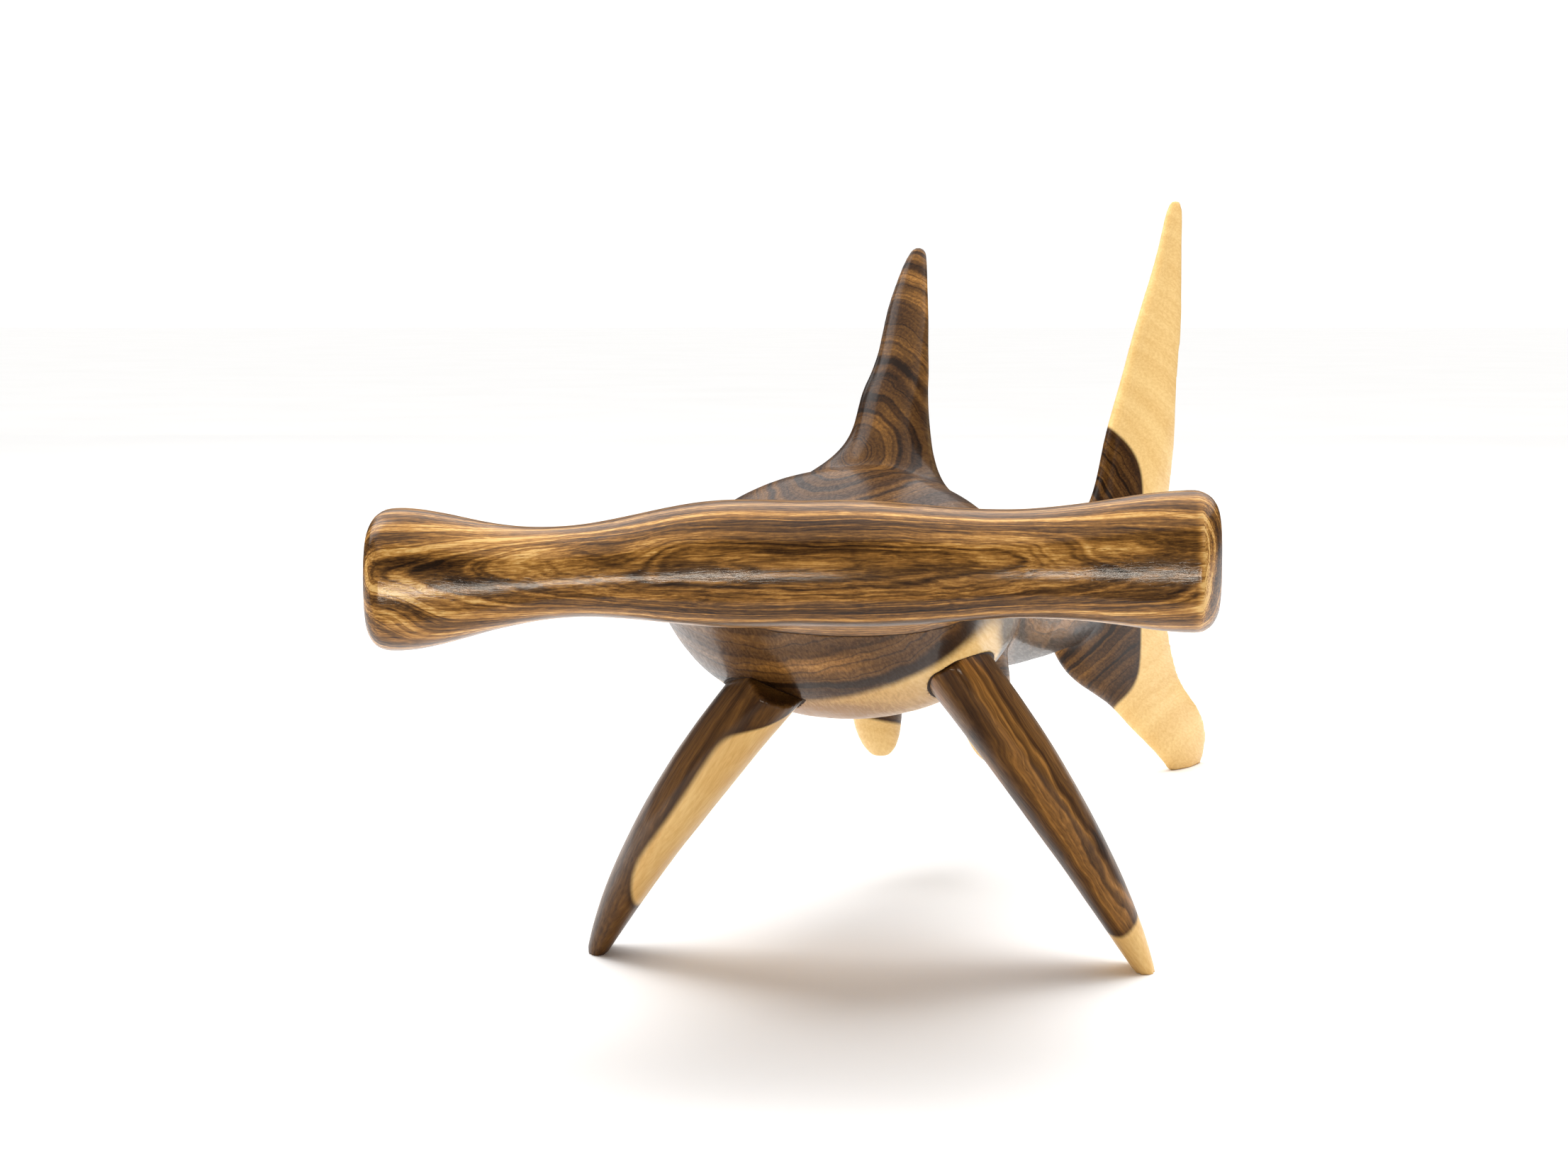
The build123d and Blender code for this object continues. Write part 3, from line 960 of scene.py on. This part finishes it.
BLOCK_SWIRLS = (
    ((2, 60, 40), (16, 30, 8), 4.0),
    ((12, 95, 100), (14, 24, 20), -2.0),
)
BLOCK_TINTS = (
    ((4, 40, 47), (12, 16, 4.0), 0.30),
    ((10.0, 88, 90), (4.2, 34, 22), -0.42),
    ((20.5, 98, 92), (5.5, 30, 20), 0.24),
    ((16.5, 92, 84), (6, 20, 2.6), -0.22),
    ((14.4, 84, 77.0), (6, 18, 3.4), 0.16),
    ((6, 88, 72), (12, 20, 4), -0.2),
    ((64, 206, 42), (14, 30, 34), -0.22),
)
# painted shade, not wood: the pale belly under the hammer is darkened where shade falls
BELLY_PAINTED_SHADE = (((6, 58, 36), (26, 36, 12), -0.75),)
block_drift = vector_maths(block, "SUBTRACT", block_curled, block_place)
block_rings_place = vector_maths(block, "ADD", border_place, block_drift)
block_far = rings(block, block_rings_place, BLOCK_SWIRLS)
block_bands = bands(block, block_far, 0.34)
block_lines = hairlines(block, block_far, 0.5, 0.05)
block_fibres = fibres(block, block_curled, 0.05, 2.6, 0.25, 0.75)
block_pores = fibres(block, block_bent, 0.09, 3.8, 0.60, 0.74)

value = block.maths("MULTIPLY_ADD", block_bands, 0.42, 0.02)
value = block.maths("MULTIPLY_ADD", block_fibres, 0.18, value)
value = block.sum(value, spots(block, BLOCK_TINTS))
value = block.maths("MULTIPLY_ADD", block_lines, -0.2, value)
heart_colour = block.ramp(value, HEART_TONES)
heart_colour = block.mix(block.times(block_pores, 0.5), heart_colour, PORE_TONE)
sap_value = block.maths("MULTIPLY_ADD", block_bands, 0.14, 0.42)
sap_value = block.maths("MULTIPLY_ADD", block_fibres, 0.22, sap_value)
# adds the painted shade on the belly
sap_value = block.sum(sap_value, spots(block, BELLY_PAINTED_SHADE))
sap_colour = block.ramp(sap_value, SAP_TONES)
block.use("Base Color", heart_and_sap(block, inside, heart_colour, sap_colour))
block.use("Roughness", block.limit(block_fibres, 0, 1, 0.50, 0.38))
polish(block, block.maths("MULTIPLY_ADD", block_pores, PORE_DEPTH, block_fibres))
block.describe()

# %% [markdown]
# ### The fins' wood
#
# The right fin comes from the border of the tree: gold on its inner side, dark
# brown on its outer side and at both ends.  The left fin is mottled heartwood
# that only reaches the sap at its foot.  Both grains run from root to foot.

# %% Fin wood
FIN_HEART = (0, 8, -14)  # mm, added to a place in the fin to shift the rings' middle


def fin_line(side):
    """The middle of a fin's root and the middle of its foot."""
    root = dowel_axis(f"{side}_fin_dowel")[0]
    points = points_of(nodes[f"{side}_pectoral_fin"])
    foot = Vector(points[points[:, 2] < 0.5 * MM].mean(0))
    return root, foot


def fin_finish(name, side):
    """The finish of a fin, its place in mm (x to the foot, z outwards), and its length."""
    finish = Finish(name, **RUBBED)
    root, foot = fin_line(side)
    outwards = (-1, 0, 0.4) if side == "right" else (1, 0, 0.4)
    place = grain_place(finish, root, foot - root, outwards)
    return finish, place, (foot - root).length / MM


def finish_fin(finish, place, inside, dark, light, swirl_scale, tints=()):
    """The shared look of both fins: rings, fibres and pores in heart and sap."""
    bent = wander(finish, place, 0.07, 5.0)
    curled = wander(finish, bent, swirl_scale, 2.2, 0.6)
    far = rings(finish, vector_maths(finish, "ADD", curled, FIN_HEART))
    wood_bands = bands(finish, far, 0.35)
    threads = fibres(finish, bent, 0.06, 2.8, 0.25, 0.75)
    pores = fibres(finish, bent, 0.10, 3.8, 0.60, 0.74)
    value = finish.maths("MULTIPLY_ADD", wood_bands, light - dark, dark)
    value = finish.maths("MULTIPLY_ADD", threads, 0.16, value)
    value = finish.sum(value, spots(finish, tints)) if tints else value
    heart_colour = finish.ramp(value, HEART_TONES)
    heart_colour = finish.mix(finish.times(pores, 0.5), heart_colour, PORE_TONE)
    sap_value = finish.maths("MULTIPLY_ADD", wood_bands, 0.16, 0.30)
    sap_colour = finish.ramp(finish.maths("MULTIPLY_ADD", threads, 0.22, sap_value), SAP_TONES)
    finish.use("Base Color", heart_and_sap(finish, inside, heart_colour, sap_colour, 0.5))
    finish.use("Roughness", finish.limit(threads, 0, 1, 0.50, 0.38))
    polish(finish, finish.maths("MULTIPLY_ADD", pores, PORE_DEPTH, threads))
    finish.describe()


# The right fin: the gold is a long lens on the inner side, which ends short of
# the root and of the foot.
RIGHT_FIN_GOLD = 3.4  # mm outside the fin's middle where the gold ends
ROOT_PULL, ROOT_SUDDEN = -9.0, 22.0
FOOT_PULL, FOOT_SUDDEN = -14.0, 4.0

right_wood, right_place, right_length = fin_finish("right_fin_wood", "right")
along, across, out = split_place(right_wood, wander(right_wood, right_place, 0.09, 1.0))
share = right_wood.limit(along, 0, right_length, -1.0, 1.0)
root_end = right_wood.maths("POWER", right_wood.maths("ABSOLUTE", share), ROOT_SUDDEN)
foot_end = right_wood.maths("POWER", right_wood.maths("MAXIMUM", share, 0.0), FOOT_SUDDEN)
right_border = right_wood.maths("MULTIPLY_ADD", root_end, ROOT_PULL, RIGHT_FIN_GOLD)
right_border = right_wood.maths("MULTIPLY_ADD", foot_end, FOOT_PULL, right_border)
right_inside = right_wood.maths("SUBTRACT", out, right_border)
finish_fin(right_wood, right_place, right_inside, 0.08, 0.36, 0.2)

# The left fin: mottled brown, with a pale foot behind a dark line.  A lighter streak high in its
# middle is a painted highlight.
LEFT_FIN_BROWN = 0.86  # the share of the fin's length that is heartwood
left_wood, left_place, left_length = fin_finish("left_fin_wood", "left")
along = split_place(left_wood, wander(left_wood, left_place, 0.12, 2.0))[0]
left_inside = left_wood.maths("SUBTRACT", left_length * LEFT_FIN_BROWN, along)
LEFT_FIN_TINTS_AND_HIGHLIGHT = (
    # a lighter streak high in the fin's middle: a painted highlight, not wood
    ((27.8, 55, 33.0), (3.0, 12, 8), 0.30),
    ((24.5, 55, 36.5), (3.0, 12, 5), -0.20),
    ((41.6, 60, 20.0), (3.5, 14, 5), -0.32),
    ((30.0, 58, 25.6), (2.4, 14, 3), -0.36),
    ((37.0, 60, 26.0), (4.0, 14, 4), 0.14),
)
finish_fin(left_wood, left_place, left_inside, 0.06, 0.66, 0.28, LEFT_FIN_TINTS_AND_HIGHLIGHT)

# %% [markdown]
# ### Glue and dowels
#
# The glue was mixed with sawdust and went in dark, so it dries to a brown line
# with a little grit in it.  The dowels are turned from straight-grained pale
# wood, and nobody sees them until the figure is taken apart.

# %% Glue
glue = Finish("dark_glue", Roughness=0.6, Specular_IOR_Level=0.1)
glue_place = glue.node("ShaderNodeTexCoord", output=3)
grit = glue.noise(glue_place, 2200.0, 3.0, 0.6)
glue.use("Base Color", glue.ramp(grit, ((0.3, tone(28, 17, 9)), (0.75, tone(70, 45, 26)))))
polish(glue, grit, 0.02)
glue.describe()

# %% Dowels
def dowel_finish(name):
    turned = Finish(f"{name}_wood", Roughness=0.55)
    middle, axis = dowel_axis(name)
    place = grain_place(turned, middle, axis, (1, 0, 0.2))
    threads = fibres(turned, place, 0.05, 3.0, 0.3, 0.7)
    turned.use("Base Color", turned.ramp(threads, SAP_TONES))
    polish(turned, threads, 0.03)
    turned.describe()
    return turned.material


# %% [markdown]
# ## Putting it together
#
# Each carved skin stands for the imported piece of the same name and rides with
# the figure's one body.  The dowels and the glue round the fins are right as
# they were packed, so they stay and only get their finish.

# %% Put the finishes on
CRISP_ANGLE = radians(38)  # edges sharper than this stay crisp
WIDE_FACE = 4 * MM * MM  # flat saw cuts, which aren't shaded as if they were round

CARVED = (
    (head, "head", "hammer_wood", hammer),
    (head_glue, "head_glue_line", "glue", glue),
    (body, "body", "body_wood", block),
    (fins["right"], "right_pectoral_fin", "fin_wood", right_wood),
    (fins["left"], "left_pectoral_fin", "fin_wood", left_wood),
)
for piece, node_name, slot_name, finish in CARVED:
    piece.data.materials.clear()
    piece.data.materials.append(finish.material)
    for polygon in piece.data.polygons:
        polygon.use_smooth = polygon.area < WIDE_FACE
    piece.data.set_sharp_from_angle(angle=CRISP_ANGLE)
    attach(piece, "root")
    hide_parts(node_name)
    print(piece.name, "stands for", node_name)

for side in FIN_SIDES:
    for name in (f"{side}_head_dowel", f"{side}_fin_dowel"):
        nodes[name].data.materials.clear()
        nodes[name].data.materials.append(dowel_finish(name))
    cup = nodes[f"{side}_fin_glue_line"]
    cup.data.materials.clear()
    cup.data.materials.append(glue.material)

# %% Measure the finished figure
boxes = {"cad": cad_box, "visual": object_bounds()}
for name, box in boxes.items():
    print(name, "box in mm", [[round(v / MM, 3) for v in corner] for corner in box])
